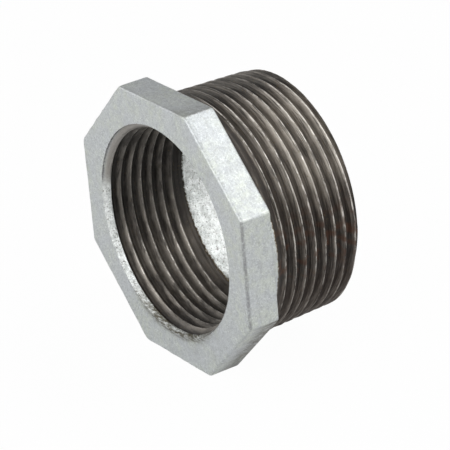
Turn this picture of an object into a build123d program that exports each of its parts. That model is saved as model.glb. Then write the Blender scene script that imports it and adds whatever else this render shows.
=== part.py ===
from build123d import *
import os
from math import atan, cos, degrees, pi, radians, tan

# Reducing bushing of malleable cast iron, in one piece: a flat octagonal head, a
# tapered pipe thread on the outside of the stem and a bore for a parallel pipe
# thread inside it. Both threads have 11 turns per inch and the Whitworth form. The
# outside thread is cut here as a true helix. The inside one is left as its tapping
# bore, over the crests, so that its wall stays a plain cylinder to mate with.
#
# The thread axis lies along +Y. The head's front face is at Y = 0, centred on the
# axis, and the bushing lies on one flat of its head, with +Z up. Every function
# below works with the axis along Z and the front face at Z = 0; the finished
# casting is turned over onto its flat at the end. Depths are counted from the
# front face.

# Driving dimensions, in mm and degrees

across_flats = 52.0  # head, from one flat to the opposite one
head_sides = 8
head_thickness = 6.4
head_corner_radius = 1.4  # rounding of the head's corners
head_edge_chamfer = 0.3  # edges of the head's two faces
overall_length = 27.9

thread_pitch = 2.309
thread_depth = 0.640327 * thread_pitch
thread_flat = thread_pitch / 6  # width of each crest and of each root
flank_angle = 27.5  # half of the thread angle

outside_gauge_diameter = 47.803  # 1 1/2 in pipe thread, over its crests at the gauge plane
outside_gauge_length = 14.2  # gauge plane to the small end
outside_taper = 1 / 16  # on the diameter
outside_clocking = 35.0  # where round the axis the groove meets the small end
outside_runout = 4.2  # length in which the outside groove fades out towards the neck
neck_length = 2.0  # cast neck between the head and the thread
neck_flare = 0.7  # where the neck widens into the head
small_end_chamfer = 0.3

inside_diameter = 41.910  # 1 1/4 in pipe thread, over its grooves
tapped_depth = 17.4  # front face to the end of the tapping bore
mouth_radius = 20.7  # countersink, at the front face
mouth_depth = 1.9
cast_bore_radius = 19.2  # bore left as cast, where it meets the tapping bore
cast_bore_draft = 1.0  # opening towards the small end
cast_bore_chamfer = 0.5  # edge of the bore at the small end

# Allowances for the cuts, in mm: they leave no trace on the finished part

spare_stock = 6.0  # blank past each end, so that the groove runs out in air
cutter_lift = 0.3  # thread cutter that stands out of the surface it cuts
overrun = 1.0  # other cutters, past the face they enter by
overlap = 0.05  # added metal that reaches into the metal it joins

# Derived sizes

inside_bore_radius = inside_diameter / 2 - thread_depth
taper_slope = outside_taper / 2  # loss of radius for each mm of depth
neck_end = head_thickness + neck_length


def outside_radius(depth):
    """Radius over the crests of the outside thread."""
    past_gauge_plane = depth - (overall_length - outside_gauge_length)
    return outside_gauge_diameter / 2 - past_gauge_plane * taper_slope


def turned(outline):
    """A solid of revolution about the axis, from a closed outline of (radius, depth)."""
    return revolve(Plane.XZ * make_face(outline), Axis.Z)


def blank():
    """A round blank with the stem's taper, over-long at both ends."""
    top = -spare_stock
    bottom = overall_length + spare_stock
    return turned(
        Polyline(
            (0, top),
            (outside_radius(top), top),
            (outside_radius(bottom), bottom),
            (0, bottom),
            close=True,
        )
    )


def thread_groove():
    """The space that the thread cutter sweeps out, from the neck to past the small end."""
    start = neck_end - thread_pitch / 2
    end = overall_length + spare_stock / 2
    root_radius = outside_radius(start) - thread_depth
    height = thread_depth + cutter_lift
    root = thread_flat / 2
    mouth = root + height * tan(radians(flank_angle))
    path = Helix(
        thread_pitch,
        end - start,
        root_radius,
        center=(0, 0, start),
        cone_angle=-degrees(atan(taper_slope)),
    )
    tool = make_face(
        Polyline((0, -root), (height, -mouth), (height, mouth), (0, root), close=True)
    )
    section = Plane(origin=path @ 0, x_dir=(1, 0, 0), z_dir=path % 0) * tool
    groove = sweep(section, path=path, is_frenet=True)
    turns_to_small_end = (overall_length - start) / thread_pitch
    return Rot(Z=outside_clocking - 360 * turns_to_small_end) * groove


def neck_and_runout():
    """The neck, and the cone of metal over which the outside groove fades out."""
    neck_radius = outside_radius(neck_end)
    runout_end = neck_end + outside_runout
    root_radius = outside_radius(runout_end) - thread_depth
    return turned(
        Polyline(
            (0, head_thickness / 2),
            (neck_radius + neck_flare, head_thickness / 2),
            (neck_radius + neck_flare, head_thickness),
            (neck_radius, head_thickness + neck_flare),
            (neck_radius, neck_end),
            (root_radius - overlap, runout_end),
            (0, runout_end),
            close=True,
        )
    )


def end_facing():
    """What is turned off past the small end and at its chamfer."""
    reach = overall_length + 2 * spare_stock
    edge = outside_radius(overall_length)
    return turned(
        Polyline(
            (0, overall_length),
            (edge - small_end_chamfer, overall_length),
            (edge + overrun, overall_length - small_end_chamfer - overrun),
            (edge + overrun, reach),
            (0, reach),
            close=True,
        )
    )


def front_facing():
    """What is turned off the blank in front of the head."""
    return Pos(Z=-spare_stock) * Cylinder(across_flats, 2 * spare_stock)


def octagonal_head():
    """The head, with rounded corners and chamfered edges."""
    circumradius = across_flats / 2 / cos(pi / head_sides)
    outline = RegularPolygon(circumradius, head_sides, rotation=180 / head_sides)
    rounded = fillet(outline.vertices(), head_corner_radius)
    head = extrude(rounded, amount=head_thickness)
    faces = head.faces().sort_by(Axis.Z)
    return chamfer(faces[0].edges() + faces[-1].edges(), head_edge_chamfer)


def through_bore():
    """The countersunk mouth, the tapping bore and the smaller bore left as cast."""
    countersink_slope = (mouth_radius - inside_bore_radius) / mouth_depth
    draft_slope = tan(radians(cast_bore_draft))
    chamfer_start = overall_length - cast_bore_chamfer
    chamfer_radius = cast_bore_radius + (chamfer_start - tapped_depth) * draft_slope
    past_end = overall_length + overrun
    return turned(
        Polyline(
            (0, -overrun),
            (mouth_radius + overrun * countersink_slope, -overrun),
            (inside_bore_radius, mouth_depth),
            (inside_bore_radius, tapped_depth),
            (cast_bore_radius, tapped_depth),
            (chamfer_radius, chamfer_start),
            (chamfer_radius + past_end - chamfer_start, past_end),
            (0, past_end),
            close=True,
        )
    )


def bushing():
    """The whole casting with its thread cut, laid on one flat of its head."""
    casting = blank() - thread_groove()
    casting += neck_and_runout()
    casting = casting - front_facing() - end_facing()
    casting += octagonal_head()
    casting -= through_bore()
    return Rot(X=-90) * casting


os.makedirs("parts", exist_ok=True)
export_step(bushing(), "parts/bushing.step")
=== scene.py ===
import math

import bmesh
import bpy
from mathutils import Matrix, Vector, noise


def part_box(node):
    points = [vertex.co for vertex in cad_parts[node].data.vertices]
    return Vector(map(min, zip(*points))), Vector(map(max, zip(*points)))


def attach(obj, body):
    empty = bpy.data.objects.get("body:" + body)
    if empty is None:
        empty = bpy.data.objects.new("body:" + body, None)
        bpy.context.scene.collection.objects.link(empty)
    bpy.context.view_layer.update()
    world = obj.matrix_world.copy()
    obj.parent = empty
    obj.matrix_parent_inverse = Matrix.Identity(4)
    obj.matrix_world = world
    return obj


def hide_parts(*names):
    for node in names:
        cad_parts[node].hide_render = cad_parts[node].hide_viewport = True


# The looks of a galvanised octagonal reducing bushing. Its casting is one closed
# surface: an octagonal head, a tapered outside thread, an inside thread and the bore
# left as cast behind it. The axis is +Y, the head's front face is at Y = 0, and angles
# are counted round the axis from +Z towards +X. Lengths are in millimetres until the
# finished mesh is scaled to metres.

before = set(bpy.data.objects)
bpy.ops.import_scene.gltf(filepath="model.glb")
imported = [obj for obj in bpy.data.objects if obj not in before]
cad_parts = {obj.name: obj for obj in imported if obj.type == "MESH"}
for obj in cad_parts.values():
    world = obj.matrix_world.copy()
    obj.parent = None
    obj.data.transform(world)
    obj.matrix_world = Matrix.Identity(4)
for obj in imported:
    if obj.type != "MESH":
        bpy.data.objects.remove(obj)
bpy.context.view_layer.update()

MM = 0.001

# Sizes read from the CAD node

low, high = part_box("bushing")
LENGTH = high.y / MM
APOTHEM = high.z / MM  # from the axis to a flat of the head

# Head

FLATS = 8
HEAD_THICKNESS = 6.4
CORNER_RADIUS = 1.4
EDGE_RADIUS = 0.32
FACE_END = APOTHEM - EDGE_RADIUS  # where the flat of the front face ends
# How far the cast flats lie from the axis, as a share of the nominal distance: the
# top flat first, then round towards +X
FLAT_SHARES = (1.0, 0.994, 1.0, 1.007, 1.0, 0.984, 1.0, 1.007)
NECK_FLARE = 0.7
NECK_END = HEAD_THICKNESS + NECK_FLARE  # where the mesh of the head ends

# Threads, both with the same form

PITCH = 2.309
THREAD_DEPTH = 0.640327 * PITCH
CREST_FLAT = 0.2
FLANK_TANGENT = math.tan(math.radians(27.5))
OUTSIDE_CREST_ROUNDING = 0.12
INSIDE_CREST_ROUNDING = 0.18
ROOT_ROUNDING = 0.35

GAUGE_RADIUS = 47.803 / 2
GAUGE_LENGTH = 14.2
TAPER_SLOPE = 1 / 32
THREAD_START = 8.4  # outside: end of the cast neck
OUTSIDE_RUNOUT = 4.2
OUTSIDE_CLOCKING = math.radians(125)  # where the groove meets the small end
RUNOUT_ROUNDING = 0.12
SMALL_END_CHAMFER = 0.3

INSIDE_ROOT_RADIUS = 41.910 / 2
INSIDE_CREST_RADIUS = INSIDE_ROOT_RADIUS - THREAD_DEPTH
INSIDE_CLOCKING = math.radians(288)  # where the groove meets the front face
INSIDE_FADE_START = 14.6
INSIDE_FADE_END = 17.0
THREAD_END_DEPTH = 0.12  # of the hole's wall below the crests, past the thread
TAPPED_DEPTH = 17.4
MOUTH_RADIUS = 20.7
MOUTH_DEPTH = 1.9
MOUTH_ROUNDING = 0.06
CAST_BORE_RADIUS = 19.2
CAST_BORE_SLOPE = math.tan(math.radians(1.0))
CAST_BORE_CHAMFER = 0.5
BORE_START = TAPPED_DEPTH + 0.2  # where the mesh changes from the thread's rows

# Faults of the cutting

WANDER = 0.018  # slow drift off the true helix, in turns
WANDER_LENGTH = 5
OUTSIDE_CHATTER = 0.01  # quick drift, in turns
INSIDE_CHATTER = 0.008
CHATTER_LENGTH = 1.1
OUTSIDE_TEAR = 0.07  # metal torn off the crests
INSIDE_TEAR = 0.05
TEAR_LENGTH = 1.4
DIE_MARK = 0.03  # sidestep of the thread, in turns
BURR_HEIGHT = 0.12
BURR_WIDTH = 0.25

# Unevenness of the casting

SIDE_UNEVENNESS = 0.03
NICK_DEPTH = 0.13  # along the front edge of the head
WAVE_DEPTH = 0.08
BORE_UNEVENNESS = 0.06
MOUTH_RAGGEDNESS = 0.12
NECK_RAGGEDNESS = 0.15
TAPPING_RAGGEDNESS = 0.12

# Zones round the axis: middle, half-width at full strength and half-width in all, in
# degrees

SMOOTH_MOUTH = (35, 108, 120)
ZINC_ON_NECK = (150, 76, 84)
STAINED_BELOW = (145, 28, 45)
GRIMY_MOUTH = (178, 18, 52)
# painted highlight of the key light on the outside thread
RUBBED_OUTSIDE = (42, 14, 38)
# oil and painted shade on the outside thread, away from the key light
OILY_LEFT = (-70, 71.6, 85.9)
OILY_BELOW = (150, 40, 75)
# painted light on the lower left of the inside thread
DRY_INSIDE = (222, 15, 42)
RIGHT_EDGE = (90, 22, 26)
LOWER_RIGHT_EDGE = (135, 22, 26)
TOP_EDGE = (0, 20, 25)
RUST_MIDDLE = math.radians(92)
RUST_SPREAD = 0.24
MOUTH_BORDER = 1.38  # mean depth at which the cast mouth ends
MOUTH_BORDER_LEAN = 0.45  # how much deeper it is on one side
MOUTH_BORDER_DEEPEST = math.radians(320)

# Mesh fineness

COLUMNS_PER_FLAT = 36
COLUMNS = FLATS * COLUMNS_PER_FLAT
FLAT_COLUMNS = 12  # of the 18 between the middle of a flat and its corner
ROWS_PER_PITCH = 12
FACE_STEPS = 14
EDGE_STEPS = 3
SIDE_STEPS = 14
BORE_STEPS = 20
END_STEPS = 6
WELD = 0.012
BLANK_RADIUS = 10.0  # of a band before it gets its shape
SHARP_ANGLE = math.radians(50)  # edges that turn more are shaded sharp

# Camera and studio

CAMERA_PLACE = Vector((412.58, -254.12, 221.77)) * MM
CAMERA_RIGHT = Vector((0.5732, 0.8154, -0.0815))
CAMERA_UP = Vector((-0.2987, 0.3005, 0.9058))
CAMERA_LENS = 231.4
PAPER_TONE = 0.92
PAPER_SIZE = 3.0
PAPER_WHITENESS = 0.975  # share of plain white in what the camera sees of the paper
PAPER_GLOSS_WHITENESS = 0.28  # the same share in what the metal mirrors of it


# Small helpers


def direction(angle):
    """Unit vector square to the axis, as (x, z)."""
    return Vector((math.sin(angle), math.cos(angle)))


def blend(a, b, share):
    return a + (b - a) * share


def step(value, low_end, high_end):
    """0 below low_end, 1 above high_end and smooth between them."""
    t = min(1.0, max(0.0, (value - low_end) / (high_end - low_end)))
    return t * t * (3 - 2 * t)


def soft_max(a, b, rounding):
    return (a + b + math.sqrt((a - b) ** 2 + rounding**2)) / 2


def soft_min(a, b, rounding):
    return (a + b - math.sqrt((a - b) ** 2 + rounding**2)) / 2


def bumps(x, y, z, size, seed=0.0):
    """Smooth noise from -1 to 1 with features of about this size."""
    return noise.noise(Vector((x / size + seed, y / size - seed, z / size + 2 * seed)))


def arc_distance(angle, middle):
    """Angle between two directions round the axis, from 0 to pi."""
    return abs((angle - middle + math.pi) % math.tau - math.pi)


def in_zone(angle, zone):
    """1 in the middle of a zone, 0 outside it and smooth between them."""
    middle, full, outer = (math.radians(degrees) for degrees in zone)
    return 1 - step(arc_distance(angle, middle), full, outer)


# Forms of the two threads: radius of the surface at a depth and an angle


def groove_depth(turns, wobble, rounding):
    """Depth below the crest; a groove's middle is where turns is a whole number."""
    from_crest = abs((turns + wobble) % 1 - 0.5) * PITCH
    flank = (from_crest - CREST_FLAT / 2) / FLANK_TANGENT
    shaped = soft_min(soft_max(flank, 0, rounding), THREAD_DEPTH, ROOT_ROUNDING)
    return max(0.0, shaped)


def outside_envelope(y):
    return GAUGE_RADIUS - (y - (LENGTH - GAUGE_LENGTH)) * TAPER_SLOPE


def die_mark(angle):
    """Small sidestep of the thread where the die was backed off."""
    degrees = math.degrees(angle)
    return DIE_MARK * step(degrees, 90.8, 92.4) * (1 - step(degrees, 94, 125))


def wander(side, y, chatter, slow_seed, quick_seed):
    """How far the groove strays from its true helix, in turns."""
    slow = WANDER * bumps(side.x, y, side.y, WANDER_LENGTH, slow_seed)
    return slow + chatter * bumps(side.x, y, side.y, CHATTER_LENGTH, quick_seed)


def torn_off(side, y, ridge, tear, seed):
    """Depth that the cutter tore off the crests."""
    return step(ridge, 0.6, 1.0) * tear * (1 + bumps(side.x, 2 * y, side.y, TEAR_LENGTH, seed))


def outside_thread(y, angle):
    """Radius and height of the ridge, from 0 in the groove to 1 on the crest."""
    side = direction(angle) * GAUGE_RADIUS
    turns = (y - LENGTH) / PITCH - (angle - OUTSIDE_CLOCKING) / math.tau
    wobble = wander(side, y, OUTSIDE_CHATTER, 3.1, 8.7) + die_mark(angle)
    depth = groove_depth(turns, wobble, OUTSIDE_CREST_ROUNDING)
    ridge = 1 - depth / THREAD_DEPTH
    envelope = outside_envelope(y)
    depth += torn_off(side, y, ridge, OUTSIDE_TEAR, 5.0)
    faded = max(0.0, (y - THREAD_START) / OUTSIDE_RUNOUT) * THREAD_DEPTH
    depth = max(0.0, soft_min(depth, faded, RUNOUT_ROUNDING))
    radius = envelope - depth
    return min(radius, envelope - SMALL_END_CHAMFER + LENGTH - y), ridge


def inside_thread(y, angle):
    """The same for the inside thread, with its mouth and the ledge at its end."""
    side = direction(angle) * INSIDE_CREST_RADIUS
    turns = y / PITCH - (angle - INSIDE_CLOCKING) / math.tau
    wobble = wander(side, y, INSIDE_CHATTER, 1.7, 4.2)
    depth = groove_depth(turns, wobble, INSIDE_CREST_ROUNDING)
    ridge = 1 - depth / THREAD_DEPTH
    depth += torn_off(side, y, ridge, INSIDE_TEAR, 9.0)
    fade = step(y, INSIDE_FADE_START, INSIDE_FADE_END)
    depth = blend(depth, THREAD_END_DEPTH, fade)
    countersink = (MOUTH_RADIUS - INSIDE_CREST_RADIUS) * (1 - y / MOUTH_DEPTH)
    ledge = (INSIDE_CREST_RADIUS - CAST_BORE_RADIUS) * step(past_tapping(y, angle), -0.1, 0.1)
    depth = soft_max(depth, countersink, MOUTH_ROUNDING)
    return INSIDE_CREST_RADIUS + depth - ledge, ridge


# Places on the casting where the skin left from the zinc bath ends


def mouth_border(angle):
    """Depth at which the cast mouth gives way to the thread."""
    lean = MOUTH_BORDER_LEAN * math.cos(angle - MOUTH_BORDER_DEEPEST)
    return MOUTH_BORDER + lean + MOUTH_RAGGEDNESS * bumps(9 * angle, 0, 0, 1, 2.0)


def machined_mouth(angle):
    """1 where the countersink was turned smooth, 0 where it is as cast."""
    return in_zone(angle, SMOOTH_MOUTH)


def neck_border(angle):
    """Depth at which the zinc on the neck gives way to the thread."""
    border = blend(HEAD_THICKNESS, THREAD_START, in_zone(angle, ZINC_ON_NECK))
    return border + NECK_RAGGEDNESS * bumps(11 * angle, 1.0, 0, 1, 6.0)


def past_tapping(y, angle):
    """Depth past the ragged edge where the tapped hole ends in the cast bore."""
    return y - TAPPED_DEPTH + TAPPING_RAGGEDNESS * bumps(14 * angle, 2.0, 0, 1, 3.0)


# Surfaces of revolution, later shaped vertex by vertex


def spun(profile, climb=0.0):
    """A closed band round the axis from a line of (radius, y), rising by climb a turn."""
    mesh = bmesh.new()
    line = [mesh.verts.new((0, y, radius)) for radius, y in profile]
    edges = [mesh.edges.new(pair) for pair in zip(line, line[1:])]
    bmesh.ops.spin(
        mesh,
        geom=line + edges,
        cent=(0, 0, 0),
        axis=(0, 1, 0),
        dvec=(0, climb / COLUMNS, 0),
        angle=math.tau,
        steps=COLUMNS,
        use_merge=climb == 0,
        use_duplicate=False,
    )
    return mesh


def even_line(radius, start, end, count):
    return [(radius, blend(start, end, i / count)) for i in range(count + 1)]


def helical_band(start, end):
    """A band whose rows follow the thread, cut square to the axis at both ends."""
    rise = PITCH / ROWS_PER_PITCH
    rows = math.ceil((end - start + PITCH) / rise)
    profile = [(BLANK_RADIUS, start - PITCH + i * rise) for i in range(rows + 1)]
    mesh = spun(profile, PITCH)
    for vertex in mesh.verts:
        if vertex.co.y < start + rise / 3:
            vertex.co.y = start
        elif vertex.co.y > end - rise / 3:
            vertex.co.y = end
    bmesh.ops.remove_doubles(mesh, verts=mesh.verts, dist=WELD)
    bmesh.ops.dissolve_degenerate(mesh, dist=WELD / 4, edges=mesh.edges)
    return mesh


# What each vertex notes of its surface: distance past the border of the cut iron, in
# mm, and from 0 to 1 the height on a ridge, smooth turned metal and painted light, rust,
# rough casting, dirt and painted shade, oil and painted shade, and nicked edges

MASKS = ("cut", "ridge", "bright", "rust", "coarse", "dirt", "oil", "edge")
FAR_FROM_CUT = -3.0
CAST_ROUGHNESS = 0.85  # how coarse the skin of the mouth and the bore is


def put(vertex, layers, place, cut=FAR_FROM_CUT, **masks):
    """Move a vertex and note what its surface is like."""
    vertex.co = place
    for name, layer in zip(MASKS, layers):
        vertex[layer] = cut if name == "cut" else masks.get(name, 0.0)


def angle_of(vertex):
    return math.atan2(vertex.co.x, vertex.co.z) % math.tau


def around(radius, y, angle):
    """Point at this radius, depth and angle."""
    side = direction(angle) * radius
    return Vector((side.x, y, side.y))


# Wear, stains, painted light and painted shade


def rust_at(y, angle):
    """Stains where the outside thread faces right, and a faint one further down."""
    side = direction(angle) * GAUGE_RADIUS
    band = math.exp(-((arc_distance(angle, RUST_MIDDLE) / RUST_SPREAD) ** 2))
    patches = step(bumps(side.x, 0.9 * y, side.y, 1.3, 12.0), 0.1, 0.35)
    return max(band * patches, 0.22 * in_zone(angle, STAINED_BELOW))


def dirt_at_mouth(angle):
    """Grime that gathered in the rough edge of the mouth, most of it at the bottom."""
    return in_zone(angle, GRIMY_MOUTH)


def worn_outside(y, angle):
    """Where a painted highlight of the key light lies on the outside thread."""
    side = direction(angle) * GAUGE_RADIUS
    patch = in_zone(angle, RUBBED_OUTSIDE) * (0.8 + 0.5 * bumps(side.x, y, side.y, 3.5, 15.0))
    return patch * step(y, THREAD_START + 0.5, THREAD_START + 8)


def oil_outside(angle):
    """Cutting oil and painted shade away from the key light, dark on the left of the outside thread
    and thinner underneath.
    """
    return max(in_zone(angle, OILY_LEFT), 0.7 * in_zone(angle, OILY_BELOW))


def worn_inside(angle):
    """Where painted light falls on the lower left of the inside thread."""
    return in_zone(angle, DRY_INSIDE)


def dark_edge(angle):
    """How dark the nicked front edge of the head is."""
    right = 0.8 * in_zone(angle, RIGHT_EDGE)
    lower = 0.45 * in_zone(angle, LOWER_RIGHT_EDGE)
    top = 0.5 * in_zone(angle, TOP_EDGE)
    return max(0.1, right, lower, top)


def dull_patch(y, angle):
    """Streaky darker zinc at one end of the top flat, and painted shade on the lower right flat that
    deepens towards the back.
    """
    from_top = math.degrees((angle + math.pi) % math.tau - math.pi)
    top = step(from_top, 4, 19) * (1 - step(from_top, 21, 23))
    lower = step(from_top, 112, 114) * (1 - step(from_top, 156, 158)) * step(y, 0.5, 5)
    return 0.45 * top + 0.9 * lower


# Parts of the casting


def shape_outside(mesh, layers):
    for vertex in mesh.verts:
        angle, y = angle_of(vertex), vertex.co.y
        radius, ridge = outside_thread(y, angle)
        cut = y - neck_border(angle)
        burr = math.exp(-((cut / BURR_WIDTH) ** 2)) * step(y, NECK_END, NECK_END + 0.4)
        radius += BURR_HEIGHT * burr * (0.4 + bumps(40 * angle, y, 0, 1, 4.4))
        place = around(radius, y, angle)
        put(
            vertex, layers, place, cut,
            ridge=ridge * step(y, THREAD_START - 1, THREAD_START + 0.8),
            rust=rust_at(y, angle),
            # painted highlight of the key light on the outside thread
            bright=worn_outside(y, angle),
            # oil and painted shade away from the key light
            oil=oil_outside(angle),
        )


def shape_inside(mesh, layers):
    for vertex in mesh.verts:
        angle, y = angle_of(vertex), vertex.co.y
        radius, ridge = inside_thread(y, angle)
        cut = min(y - mouth_border(angle), -past_tapping(y, angle))
        place = around(radius, y, angle)
        fade = 1 - step(y, INSIDE_FADE_START, INSIDE_FADE_START + 1)
        patch = 1 + bumps(4 * angle, y, 0, 1.3, 21.0)
        smooth = machined_mouth(angle) * (1 - step(y, 1.5, 2.0))
        # painted light on the lower left of the inside thread: lighter flanks, less oil and painted
        # shade
        dry = worn_inside(angle)
        put(
            vertex, layers, place, cut,
            ridge=ridge * step(cut, 0, 0.6) * fade,
            bright=max(smooth, step(cut, 0.1, 0.5) * (0.05 + 0.3 * dry * patch)),
            coarse=CAST_ROUGHNESS * (1 - smooth),
            dirt=dirt_at_mouth(angle),
            oil=1 - 0.7 * dry,
            edge=smooth * (1 - step(y, 0.25, 0.6)),
        )


def cast_bore_radius(y, angle):
    """Radius of the uneven bore, which opens towards the small end."""
    side = direction(angle) * CAST_BORE_RADIUS
    radius = CAST_BORE_RADIUS + (y - TAPPED_DEPTH) * CAST_BORE_SLOPE
    radius += BORE_UNEVENNESS * bumps(side.x, y, side.y, 3.0, 7.0) * step(LENGTH - y, 0, 1)
    return radius + max(0.0, y - LENGTH + CAST_BORE_CHAMFER)


def corner_centre(flat):
    """Centre of the rounding between a flat of the head and the next one, as (x, z)."""
    first, second = flat * math.tau / FLATS, (flat + 1) * math.tau / FLATS
    a = APOTHEM * FLAT_SHARES[flat % FLATS] - CORNER_RADIUS
    b = APOTHEM * FLAT_SHARES[(flat + 1) % FLATS] - CORNER_RADIUS
    turn = math.sin(second - first)
    x = (b * math.cos(first) - a * math.cos(second)) / turn
    z = (a * math.sin(second) - b * math.sin(first)) / turn
    return Vector((x, z))


def head_outline(column, inset):
    """Point of the head's rounded outline, this far inside its flats, as (x, z)."""
    flat = round(column / COLUMNS_PER_FLAT)
    offset = column - flat * COLUMNS_PER_FLAT
    normal = flat * math.tau / FLATS
    before, after = corner_centre(flat - 1), corner_centre(flat)
    radius = CORNER_RADIUS - inset
    if abs(offset) <= FLAT_COLUMNS:
        share = (offset / FLAT_COLUMNS + 1) / 2
        return before.lerp(after, share) + direction(normal) * radius
    corner_columns = COLUMNS_PER_FLAT / 2 - FLAT_COLUMNS
    turn = (abs(offset) - FLAT_COLUMNS) / corner_columns * math.pi / FLATS
    towards = math.copysign(1, offset)
    centre = after if offset > 0 else before
    return centre + direction(normal + towards * turn) * radius


def edge_round():
    """(radius, y) points of a quarter round from the front face to the side."""
    points = []
    for i in range(EDGE_STEPS + 1):
        turn = math.pi / 2 * i / EDGE_STEPS
        inset = EDGE_RADIUS * (1 - math.sin(turn))
        points.append((APOTHEM - inset, EDGE_RADIUS * (1 - math.cos(turn))))
    return points


def head_profile():
    """Half section of the head, as if it were round, from its mouth to the neck."""
    face = [
        (blend(MOUTH_RADIUS, FACE_END, (i / FACE_STEPS) ** 1.4), 0) for i in range(FACE_STEPS)
    ]
    rounding = edge_round()
    side = even_line(APOTHEM, EDGE_RADIUS, HEAD_THICKNESS - EDGE_RADIUS, SIDE_STEPS)[1:-1]
    back = [(radius, HEAD_THICKNESS - y) for radius, y in reversed(rounding)]
    neck = outside_envelope(NECK_END)
    # a hollow rounding from the back face of the head down to the neck
    flare = [(neck + NECK_FLARE, HEAD_THICKNESS), (neck + 0.3, HEAD_THICKNESS + 0.12)]
    flare += [(neck + 0.1, HEAD_THICKNESS + 0.35), (neck, NECK_END)]
    return face + rounding + side + back + flare


def nicked(side, y):
    """How far the uneven casting falls short of its outline, most along the front edge."""
    near_front = 1 - step(y, 0.3, 1.2)
    broad = SIDE_UNEVENNESS * (1 + bumps(side.x, y, side.y, 4.0, 2.5))
    nick = max(0.0, bumps(side.x, 2 * y, side.y, 1.3, 6.5) + 0.25)
    wave = max(0.0, bumps(side.x, y, side.y, 2.6, 11.0) + 0.2)
    return broad + near_front * (NICK_DEPTH * nick + WAVE_DEPTH * wave)


def head_side(nominal, y, angle, column):
    """Where a point of the round head comes to lie once it has its flats, as (x, z)."""
    neck = outside_envelope(NECK_END)
    if nominal >= FACE_END - WELD:
        side = head_outline(column, APOTHEM - nominal)
        return side - direction(angle) * nicked(side, y)
    if y < HEAD_THICKNESS / 2:
        share = (nominal - MOUTH_RADIUS) / (FACE_END - MOUTH_RADIUS)
        mouth = direction(angle) * inside_thread(0, angle)[0]
        return mouth.lerp(head_outline(column, EDGE_RADIUS), share)
    if nominal > neck + NECK_FLARE + WELD:
        share = (nominal - neck - NECK_FLARE) / (FACE_END - neck - NECK_FLARE)
        flare = direction(angle) * (neck + NECK_FLARE)
        return flare.lerp(head_outline(column, EDGE_RADIUS), share)
    if y > NECK_END - WELD:
        return direction(angle) * outside_thread(y, angle)[0]
    return direction(angle) * nominal


def shape_head(mesh, layers):
    for vertex in mesh.verts:
        y = vertex.co.y
        nominal = math.hypot(vertex.co.x, vertex.co.z)
        column = round(angle_of(vertex) / math.tau * COLUMNS)
        angle = column / COLUMNS * math.tau
        side = head_side(nominal, y, angle, column)
        x = max(-APOTHEM, min(APOTHEM, side.x))
        z = max(-APOTHEM, min(APOTHEM, side.y))
        at_edge = nominal >= FACE_END - WELD and y < EDGE_RADIUS + WELD
        near_mouth = math.exp(-((nominal - MOUTH_RADIUS) / 0.7) ** 2) if y < WELD else 0.0
        # streaky darker zinc on the top flat and painted shade on the lower right flat
        dull = dull_patch(y, angle) if nominal > FACE_END else 0.0
        put(
            vertex, layers, Vector((x, y, z)),
            edge=dark_edge(angle) if at_edge else 0.0,
            dirt=max(near_mouth * dirt_at_mouth(angle), dull),
        )


def shape_cast_bore(mesh, layers):
    for vertex in mesh.verts:
        angle, y = angle_of(vertex), vertex.co.y
        radius = cast_bore_radius(y, angle)
        radius = blend(inside_thread(y, angle)[0], radius, step(y, BORE_START, BORE_START + 0.6))
        cut = 0.5 - min(past_tapping(y, angle) + 0.5, 3 * (LENGTH - y))
        put(vertex, layers, around(radius, y, angle), cut, coarse=CAST_ROUGHNESS, oil=1.0)


def shape_small_end(mesh, layers):
    for vertex in mesh.verts:
        angle = angle_of(vertex)
        share = math.hypot(vertex.co.x, vertex.co.z) - 1
        inner = cast_bore_radius(LENGTH, angle)
        outer = outside_thread(LENGTH, angle)[0]
        put(vertex, layers, around(blend(inner, outer, share), LENGTH, angle), 1.0, ridge=0.5)


def casting():
    """The whole bushing as one closed surface."""
    bore_line = even_line(CAST_BORE_RADIUS, BORE_START, LENGTH - CAST_BORE_CHAMFER, BORE_STEPS)
    bore_line += [(CAST_BORE_RADIUS, LENGTH - CAST_BORE_CHAMFER / 2), (CAST_BORE_RADIUS, LENGTH)]
    parts = (
        (spun(head_profile()), shape_head),
        (helical_band(NECK_END, LENGTH), shape_outside),
        (helical_band(0, BORE_START), shape_inside),
        (spun(bore_line), shape_cast_bore),
        (spun([(1 + i / END_STEPS, LENGTH) for i in range(END_STEPS + 1)]), shape_small_end),
    )
    whole = bmesh.new()
    for part, shape in parts:
        layers = [part.verts.layers.float.new(mask) for mask in MASKS]
        shape(part, layers)
        piece = bpy.data.meshes.new("part")
        part.to_mesh(piece)
        part.free()
        whole.from_mesh(piece)
        bpy.data.meshes.remove(piece)
    bmesh.ops.remove_doubles(whole, verts=whole.verts, dist=WELD)
    bmesh.ops.dissolve_degenerate(whole, dist=WELD / 4, edges=whole.edges)
    bmesh.ops.recalc_face_normals(whole, faces=whole.faces)
    bmesh.ops.scale(whole, vec=(MM, MM, MM), verts=whole.verts)
    return whole


# Node groups and materials


def tone(red, green, blue):
    """Display values from 0 to 255 as a linear colour."""
    parts = [c / 255 for c in (red, green, blue)]
    linear = [c / 12.92 if c <= 0.04045 else ((c + 0.055) / 1.055) ** 2.4 for c in parts]
    return (*linear, 1.0)


# Tones of the zinc

BLUISH_ZINC = tone(199, 203, 206)
GREENISH_ZINC = tone(202, 207, 199)
GREY_ZINC = tone(190, 194, 196)
PALE_ROUGH_ZINC = tone(250, 253, 252)
GREY_ROUGH_ZINC = tone(204, 208, 205)
DARK_GRAIN = tone(146, 149, 148)
LIGHT_GRAIN = tone(234, 238, 236)
OCHRE_SPECK = tone(182, 176, 142)
DEEP_PIT = tone(104, 100, 90)
SMEARED_ZINC = tone(164, 166, 166)
GRIME = tone(92, 88, 74)
NICKED_EDGE = tone(96, 93, 96)

# Tones of the cut iron

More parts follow.
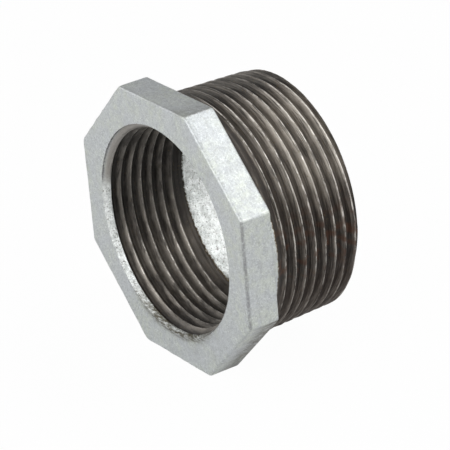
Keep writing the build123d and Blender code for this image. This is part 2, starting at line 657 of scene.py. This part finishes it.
DRY_GROOVE = tone(50, 44, 39)
OILY_GROOVE = tone(42, 40, 38)
RUBBED_GROOVE = tone(112, 104, 94)
DARK_FLANK = tone(76, 69, 63)
LIGHT_FLANK = tone(104, 97, 90)
OILY_FLANK = tone(92, 88, 83)
RUBBED_FLANK = tone(184, 177, 167)
RUBBED_CREST = tone(214, 210, 203)
DARK_TOOL_MARK = tone(36, 32, 29)
LIGHT_TOOL_MARK = tone(176, 168, 158)
YELLOW_SPECK = tone(104, 88, 58)
RUST = tone(88, 54, 34)
SMOOTH_METAL = tone(156, 151, 145)
DRY_BURR = tone(122, 100, 66)
OILY_BURR = tone(66, 60, 46)

GREY_CARD = tone(180, 180, 180)

# Metallic shares and relief

ZINC_METALLIC = 0.65
OILY_IRON_METALLIC = 0.5
SHINY_IRON_METALLIC = 0.95
RELIEF_STRENGTH = 0.7
RELIEF_DEPTH = 0.12


def add(tree, kind, **settings):
    """A new node of this kind, with these settings."""
    node = tree.nodes.new(kind)
    for name, value in settings.items():
        setattr(node, name, value)
    return node


def plug(tree, socket, value):
    """Feed an input from another node's output, or set it to a constant."""
    if isinstance(value, bpy.types.NodeSocket):
        tree.links.new(value, socket)
    else:
        socket.default_value = value


def maths(tree, operation, a, b=0.0, c=0.0):
    """Output of a Math node; each input is a socket or a number."""
    node = add(tree, "ShaderNodeMath", operation=operation)
    for socket, value in zip(node.inputs, (a, b, c)):
        plug(tree, socket, value)
    return node.outputs[0]


def mixed(tree, share, a, b):
    """Output of a colour Mix node."""
    node = add(tree, "ShaderNodeMix", data_type="RGBA")
    for identifier, value in (("Factor_Float", share), ("A_Color", a), ("B_Color", b)):
        plug(tree, next(s for s in node.inputs if s.identifier == identifier), value)
    return next(s for s in node.outputs if s.identifier == "Result_Color")


def mixed_value(tree, share, a, b):
    """Output of a number Mix node."""
    node = add(tree, "ShaderNodeMix", data_type="FLOAT")
    for name, value in (("Factor", share), ("A", a), ("B", b)):
        plug(tree, node.inputs[name], value)
    return node.outputs["Result"]


def ranged(tree, value, from_low, from_high, to_low=0.0, to_high=1.0):
    """Output of a clamped smooth Map Range node."""
    node = add(tree, "ShaderNodeMapRange", interpolation_type="SMOOTHSTEP")
    ends = {"From Min": from_low, "From Max": from_high, "To Min": to_low, "To Max": to_high}
    for name, number in ends.items():
        node.inputs[name].default_value = number
    tree.links.new(value, node.inputs["Value"])
    return node.outputs["Result"]


def speckle(tree, vector, size, detail=3.0, roughness=0.55, stretch=(1, 1, 1), distortion=0.0):
    """Noise of this feature size in millimetres, drawn out along the stretched axes."""
    mapping = add(tree, "ShaderNodeMapping")
    mapping.inputs["Scale"].default_value = [1 / (size * MM * s) for s in stretch]
    tree.links.new(vector, mapping.inputs["Vector"])
    node = add(tree, "ShaderNodeTexNoise")
    node.inputs["Scale"].default_value = 1.0
    node.inputs["Detail"].default_value = detail
    node.inputs["Roughness"].default_value = roughness
    node.inputs["Distortion"].default_value = distortion
    tree.links.new(mapping.outputs["Vector"], node.inputs["Vector"])
    return node.outputs["Fac"]


def new_group(name, inputs, outputs):
    """An empty node group and its input and output nodes."""
    group = bpy.data.node_groups.new(name, "ShaderNodeTree")
    for in_out, sockets in (("INPUT", inputs), ("OUTPUT", outputs)):
        for socket, kind in sockets:
            group.interface.new_socket(socket, in_out=in_out, socket_type=kind)
    return group, group.nodes.new("NodeGroupInput"), group.nodes.new("NodeGroupOutput")


VECTOR, FLOAT, COLOUR = "NodeSocketVector", "NodeSocketFloat", "NodeSocketColor"


def zinc_skin():
    """Galvanised cast skin: mottled and wrinkled, with pits, specks, grime and painted shade."""
    group, given, result = new_group(
        "zinc_skin",
        [("Vector", VECTOR), ("Coarse", FLOAT), ("Dirt", FLOAT), ("Edge", FLOAT)],
        [("Colour", COLOUR), ("Roughness", FLOAT), ("Height", FLOAT)],
    )
    vector, coarse, dirt, edge = (
        given.outputs[name] for name in ("Vector", "Coarse", "Dirt", "Edge")
    )
    broad = speckle(group, vector, 7.0, 2.0)
    cloud = speckle(group, vector, 1.5, 5.0, 0.68)
    grain = speckle(group, vector, 0.38, 4.0, 0.7, distortion=1.2)
    wrinkle = speckle(group, vector, 0.55, 3.0, 0.55)
    streak = speckle(group, vector, 0.35, 4.0, 0.7, stretch=(5, 5, 1))
    fine = speckle(group, vector, 0.42, 3.0, 0.7)

    pale = mixed(group, ranged(group, broad, 0.35, 0.65), BLUISH_ZINC, GREENISH_ZINC)
    pale = mixed(group, coarse, pale, PALE_ROUGH_ZINC)
    grey = mixed(group, coarse, GREY_ZINC, GREY_ROUGH_ZINC)
    colour = mixed(group, ranged(group, cloud, 0.34, 0.62), grey, pale)
    colour = mixed(group, ranged(group, grain, 0.36, 0.50, 0.42, 0.0), colour, DARK_GRAIN)
    colour = mixed(group, ranged(group, grain, 0.52, 0.64, 0.0, 0.52), colour, LIGHT_GRAIN)
    ochre = ranged(group, fine, 0.62, 0.70, 0.0, 0.35)
    colour = mixed(group, ochre, colour, OCHRE_SPECK)
    pit_depth = maths(group, "MULTIPLY_ADD", coarse, 0.75, 0.12)
    rough_pits = maths(group, "MULTIPLY", ranged(group, fine, 0.42, 0.37), pit_depth)
    colour = mixed(group, rough_pits, colour, DEEP_PIT)
    smear = speckle(group, vector, 0.5, 3.0, 0.6, stretch=(6, 2, 6))
    colour = mixed(group, ranged(group, smear, 0.56, 0.68, 0.0, 0.3), colour, SMEARED_ZINC)
    # grime round the mouth, and painted shade on the lower right flat
    grime = maths(group, "MULTIPLY", dirt, ranged(group, streak, 0.35, 0.6, 0.15, 1.0))
    colour = mixed(group, grime, colour, GRIME)
    thin = maths(group, "POWER", edge, 2.2)
    nicks = maths(group, "MULTIPLY", thin, ranged(group, wrinkle, 0.38, 0.54, 0.25, 0.8))
    colour = mixed(group, nicks, colour, NICKED_EDGE)

    smooth_height = maths(group, "MULTIPLY_ADD", grain, 0.35, wrinkle)
    rough_height = maths(group, "MULTIPLY_ADD", fine, 2.4, smooth_height)
    height = mixed_value(group, coarse, smooth_height, rough_height)
    group.links.new(colour, result.inputs["Colour"])
    group.links.new(ranged(group, cloud, 0.3, 0.7, 0.46, 0.36), result.inputs["Roughness"])
    group.links.new(height, result.inputs["Height"])
    return group


def turning_vector(tree, vector):
    """Coordinates that change fast across the tool's path: (x, y + radius, z)."""
    parts = add(tree, "ShaderNodeSeparateXYZ")
    tree.links.new(vector, parts.inputs[0])
    x, y, z = parts.outputs
    square = maths(tree, "ADD", maths(tree, "MULTIPLY", x, x), maths(tree, "MULTIPLY", z, z))
    joined = add(tree, "ShaderNodeCombineXYZ")
    tree.links.new(x, joined.inputs[0])
    tree.links.new(maths(tree, "ADD", y, maths(tree, "SQRT", square)), joined.inputs[1])
    tree.links.new(z, joined.inputs[2])
    return joined.outputs[0]


def cut_thread():
    """Bare cut iron: painted shade in its grooves, painted light up its flanks, and on its crests a
    painted highlight that is partly rubbed bare metal.
    """
    group, given, result = new_group(
        "cut_thread",
        [("Vector", VECTOR), ("Ridge", FLOAT), ("Rust", FLOAT), ("Oil", FLOAT), ("Bright", FLOAT)],
        [("Colour", COLOUR), ("Roughness", FLOAT), ("Height", FLOAT), ("Shine", FLOAT)],
    )
    vector, ridge, rust, oil, bright = (
        given.outputs[name] for name in ("Vector", "Ridge", "Rust", "Oil", "Bright")
    )
    turned = turning_vector(group, vector)
    lines = speckle(group, turned, 0.42, 3.0, 0.62, stretch=(14, 1, 14))
    torn = speckle(group, turned, 0.6, 4.0, 0.75, stretch=(2.5, 1, 2.5))
    patches = speckle(group, vector, 3.0, 4.0, 0.6)
    specks = speckle(group, vector, 0.35, 2.0, 0.6)

    # oil and painted shade darken the groove
    groove = mixed(group, oil, DRY_GROOVE, OILY_GROOVE)
    flank = mixed(group, ranged(group, patches, 0.38, 0.62), DARK_FLANK, LIGHT_FLANK)
    flank = mixed(group, oil, flank, OILY_FLANK)
    # lighter grooves and flanks: smooth turned metal in the mouth, painted light elsewhere
    groove = mixed(group, maths(group, "MULTIPLY", bright, 0.7), groove, RUBBED_GROOVE)
    flank = mixed(group, bright, flank, RUBBED_FLANK)
    # darker towards the groove and lighter up the ridge: painted shade and painted light
    worn = maths(group, "ADD", ridge, maths(group, "MULTIPLY_ADD", torn, 0.5, -0.25))
    colour = mixed(group, ranged(group, worn, 0.08, 0.8), groove, flank)
    dark_line = ranged(group, lines, 0.48, 0.38, 0.0, 0.65)
    colour = mixed(group, dark_line, colour, DARK_TOOL_MARK)
    # light tool marks kept to the ridges, partly a painted highlight
    light_line = maths(group, "MULTIPLY", ranged(group, lines, 0.52, 0.62, 0.0, 0.55), worn)
    light_line = maths(group, "MULTIPLY", light_line, maths(group, "MULTIPLY_ADD", oil, -0.5, 1.0))
    colour = mixed(group, light_line, colour, LIGHT_TOOL_MARK)
    # painted highlight along the crests, partly rubbed bare metal
    shine = ranged(group, maths(group, "MULTIPLY_ADD", lines, 0.3, worn), 1.06, 1.15)
    shine = maths(group, "MULTIPLY", shine, ranged(group, patches, 0.36, 0.6, 0.5, 1.0))
    # oil and painted shade dim the crest highlight away from the key light
    shine = maths(group, "MULTIPLY", shine, maths(group, "MULTIPLY_ADD", oil, -0.8, 1.0))
    shine = maths(group, "MULTIPLY", shine, maths(group, "MULTIPLY_ADD", rust, -0.9, 1.0))
    colour = mixed(group, shine, colour, RUBBED_CREST)
    colour = mixed(group, ranged(group, specks, 0.62, 0.72, 0.0, 0.55), colour, YELLOW_SPECK)
    colour = mixed(group, maths(group, "MULTIPLY", rust, 0.6), colour, RUST)

    height = maths(group, "MULTIPLY_ADD", torn, 0.7, lines)
    group.links.new(colour, result.inputs["Colour"])
    dull = ranged(group, patches, 0.3, 0.7, 0.42, 0.56)
    group.links.new(maths(group, "MULTIPLY_ADD", shine, -0.12, dull), result.inputs["Roughness"])
    group.links.new(height, result.inputs["Height"])
    group.links.new(shine, result.inputs["Shine"])
    return group


def ragged_border():
    """Where cut iron begins, with a dirty burr along the border."""
    group, given, result = new_group(
        "ragged_border",
        [("Vector", VECTOR), ("Distance", FLOAT)],
        [("Cut", FLOAT), ("Burr", FLOAT)],
    )
    ragged = speckle(group, given.outputs["Vector"], 0.6, 4.0, 0.7)
    away = maths(group, "MULTIPLY_ADD", ragged, 0.9, -0.45)
    away = maths(group, "ADD", given.outputs["Distance"], away)
    near = ranged(group, maths(group, "ABSOLUTE", away), 0.0, 0.16, 1.0, 0.0)
    group.links.new(ranged(group, away, -0.04, 0.04), result.inputs["Cut"])
    group.links.new(near, result.inputs["Burr"])
    return group


def placed(tree, group, **links):
    """Outputs of a group node whose named inputs are linked."""
    node = add(tree, "ShaderNodeGroup", node_tree=group)
    for name, socket in links.items():
        tree.links.new(socket, node.inputs[name])
    return node.outputs


def mask(tree, name):
    """What the vertices note under this name."""
    return add(tree, "ShaderNodeAttribute", attribute_name=name).outputs["Fac"]


def galvanised_iron():
    """Zinc skin where the casting is as cast, bare iron where it was cut."""
    material = bpy.data.materials.new("zinc_and_cut_iron")
    material.use_nodes = True
    tree = material.node_tree
    tree.nodes.clear()
    vector = add(tree, "ShaderNodeTexCoord").outputs["Object"]
    cut, ridge, bright, rust, coarse, dirt, oil, edge = (mask(tree, name) for name in MASKS)
    skin = placed(tree, zinc_skin(), Vector=vector, Coarse=coarse, Dirt=dirt, Edge=edge)
    iron = placed(
        tree, cut_thread(), Vector=vector, Ridge=ridge, Rust=rust, Oil=oil, Bright=bright
    )
    border = placed(tree, ragged_border(), Vector=vector, Distance=cut)

    smooth = maths(tree, "MULTIPLY", bright, maths(tree, "MULTIPLY_ADD", edge, -0.9, 0.9))
    uncut = mixed(tree, smooth, skin["Colour"], SMOOTH_METAL)
    colour = mixed(tree, border["Cut"], uncut, iron["Colour"])
    # darker burr under oil and painted shade
    burr = mixed(tree, oil, DRY_BURR, OILY_BURR)
    colour = mixed(tree, maths(tree, "MULTIPLY", border["Burr"], 0.75), colour, burr)
    height = mixed_value(tree, border["Cut"], skin["Height"], iron["Height"])
    roughness = mixed_value(tree, border["Cut"], skin["Roughness"], iron["Roughness"])
    bare = ranged(tree, iron["Shine"], 0, 1, OILY_IRON_METALLIC, SHINY_IRON_METALLIC)
    metallic = mixed_value(tree, border["Cut"], ZINC_METALLIC, bare)

    bump = add(tree, "ShaderNodeBump")
    bump.inputs["Strength"].default_value = RELIEF_STRENGTH
    bump.inputs["Distance"].default_value = RELIEF_DEPTH * MM
    tree.links.new(height, bump.inputs["Height"])
    shader = add(tree, "ShaderNodeBsdfPrincipled")
    tree.links.new(colour, shader.inputs["Base Color"])
    tree.links.new(roughness, shader.inputs["Roughness"])
    tree.links.new(metallic, shader.inputs["Metallic"])
    tree.links.new(bump.outputs["Normal"], shader.inputs["Normal"])
    output = add(tree, "ShaderNodeOutputMaterial")
    tree.links.new(shader.outputs["BSDF"], output.inputs["Surface"])
    return material


def shows_white(tree):
    """1 for what the camera sees directly, in gloss or through glass."""
    path = add(tree, "ShaderNodeLightPath")
    seen = maths(tree, "MAXIMUM", path.outputs["Is Camera Ray"], path.outputs["Is Glossy Ray"])
    return maths(tree, "MAXIMUM", seen, path.outputs["Is Transmission Ray"])


def studio_world(ambient):
    """White to look at, and a weaker light all round."""
    world = bpy.data.worlds.new("studio")
    bpy.context.scene.world = world
    world.use_nodes = True
    tree = world.node_tree
    tree.nodes.clear()
    around_object = add(tree, "ShaderNodeBackground")
    around_object.inputs["Strength"].default_value = ambient
    white = add(tree, "ShaderNodeBackground")
    for background in (around_object, white):
        background.inputs["Color"].default_value = (1, 1, 1, 1)
    mix = add(tree, "ShaderNodeMixShader")
    tree.links.new(shows_white(tree), mix.inputs["Fac"])
    tree.links.new(around_object.outputs[0], mix.inputs[1])
    tree.links.new(white.outputs[0], mix.inputs[2])
    output = add(tree, "ShaderNodeOutputWorld")
    tree.links.new(mix.outputs[0], output.inputs["Surface"])


def paper_floor():
    """White paper that stays white in view and keeps part of the object's shadow."""
    material = bpy.data.materials.new("paper")
    material.use_nodes = True
    tree = material.node_tree
    shader = tree.nodes["Principled BSDF"]
    shader.inputs["Base Color"].default_value = (PAPER_TONE, PAPER_TONE, PAPER_TONE, 1)
    shader.inputs["Roughness"].default_value = 0.9
    glow = add(tree, "ShaderNodeEmission")
    mix = add(tree, "ShaderNodeMixShader")
    path = add(tree, "ShaderNodeLightPath")
    seen = maths(tree, "MAXIMUM", path.outputs["Is Camera Ray"], path.outputs["Is Transmission Ray"])
    seen = maths(tree, "MULTIPLY", seen, PAPER_WHITENESS)
    mirrored = maths(tree, "MULTIPLY", path.outputs["Is Glossy Ray"], PAPER_GLOSS_WHITENESS)
    share = maths(tree, "MAXIMUM", seen, mirrored)
    tree.links.new(share, mix.inputs["Fac"])
    tree.links.new(shader.outputs["BSDF"], mix.inputs[1])
    tree.links.new(glow.outputs[0], mix.inputs[2])
    tree.links.new(mix.outputs[0], tree.nodes["Material Output"].inputs["Surface"])
    sheet = bmesh.new()
    bmesh.ops.create_grid(sheet, x_segments=1, y_segments=1, size=PAPER_SIZE)
    bmesh.ops.translate(sheet, vec=(0, 0, low.z), verts=sheet.verts)
    return mesh_object("floor", sheet, material)


def turned_towards_object(holder, towards, distance, front):
    """Put an object in this direction from the origin, with its front facing it."""
    place = Vector(towards).normalized() * distance
    holder.location = place
    holder.rotation_euler = (-place).to_track_quat(front, "Y").to_euler()


def grey_flag(towards, distance, size):
    """A grey card, out of view, that the top flat reflects."""
    material = bpy.data.materials.new("grey_card")
    material.use_nodes = True
    shader = material.node_tree.nodes["Principled BSDF"]
    shader.inputs["Base Color"].default_value = GREY_CARD
    shader.inputs["Roughness"].default_value = 1.0
    sheet = bmesh.new()
    bmesh.ops.create_grid(sheet, x_segments=1, y_segments=1, size=size / 2)
    flag = mesh_object("flag", sheet, material)
    turned_towards_object(flag, towards, distance, "Z")
    flag.visible_camera = False
    flag.visible_shadow = False
    return flag


def mesh_object(name, source, material):
    """An object of this mesh, which is used up."""
    mesh = bpy.data.meshes.new(name)
    source.to_mesh(mesh)
    source.free()
    mesh.materials.append(material)
    piece = bpy.data.objects.new(name, mesh)
    bpy.context.scene.collection.objects.link(piece)
    return piece


def softbox(name, towards, distance, side, power):
    """A square lamp in this direction from the object, facing it, with its power in watts."""
    lamp = bpy.data.lights.new(name, "AREA")
    lamp.shape = "SQUARE"
    lamp.size = side
    lamp.energy = power
    holder = bpy.data.objects.new(name, lamp)
    bpy.context.scene.collection.objects.link(holder)
    turned_towards_object(holder, towards, distance, "-Z")


def camera():
    """The view from the right, the front and above."""
    view = bpy.data.cameras.new("camera")
    view.sensor_width = 36.0
    view.lens = CAMERA_LENS
    view.clip_start = 0.01
    holder = bpy.data.objects.new("camera", view)
    bpy.context.scene.collection.objects.link(holder)
    right = CAMERA_RIGHT.normalized()
    back = right.cross(CAMERA_UP).normalized()
    turn = Matrix((right, back.cross(right), back)).transposed()
    holder.matrix_world = Matrix.Translation(CAMERA_PLACE) @ turn.to_4x4()
    bpy.context.scene.camera = holder


# The bushing

bushing = mesh_object("bushing_casting", casting(), galvanised_iron())
bushing.data.shade_smooth()
bushing.data.set_sharp_from_angle(angle=SHARP_ANGLE)
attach(bushing, "root")
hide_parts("bushing")

# The studio

paper_floor()
grey_flag(towards=(-0.763, 0.495, 0.416), distance=0.45, size=0.6)
studio_world(ambient=0.35)
softbox("key", (0.41, 0.50, 0.75), 0.7, 0.3, 0.55)
softbox("over", (-0.05, 0.50, 0.86), 0.7, 0.25, 0.5)
softbox("right", (0.77, 0.50, 0.40), 0.7, 0.25, 0.9)
softbox("fill", (0.35, -0.75, 0.6), 0.9, 0.5, 2.1)
softbox("left", (-0.5, -1.0, 0.15), 0.9, 0.6, 2.4)
camera()

bpy.context.scene.view_settings.view_transform = "Standard"
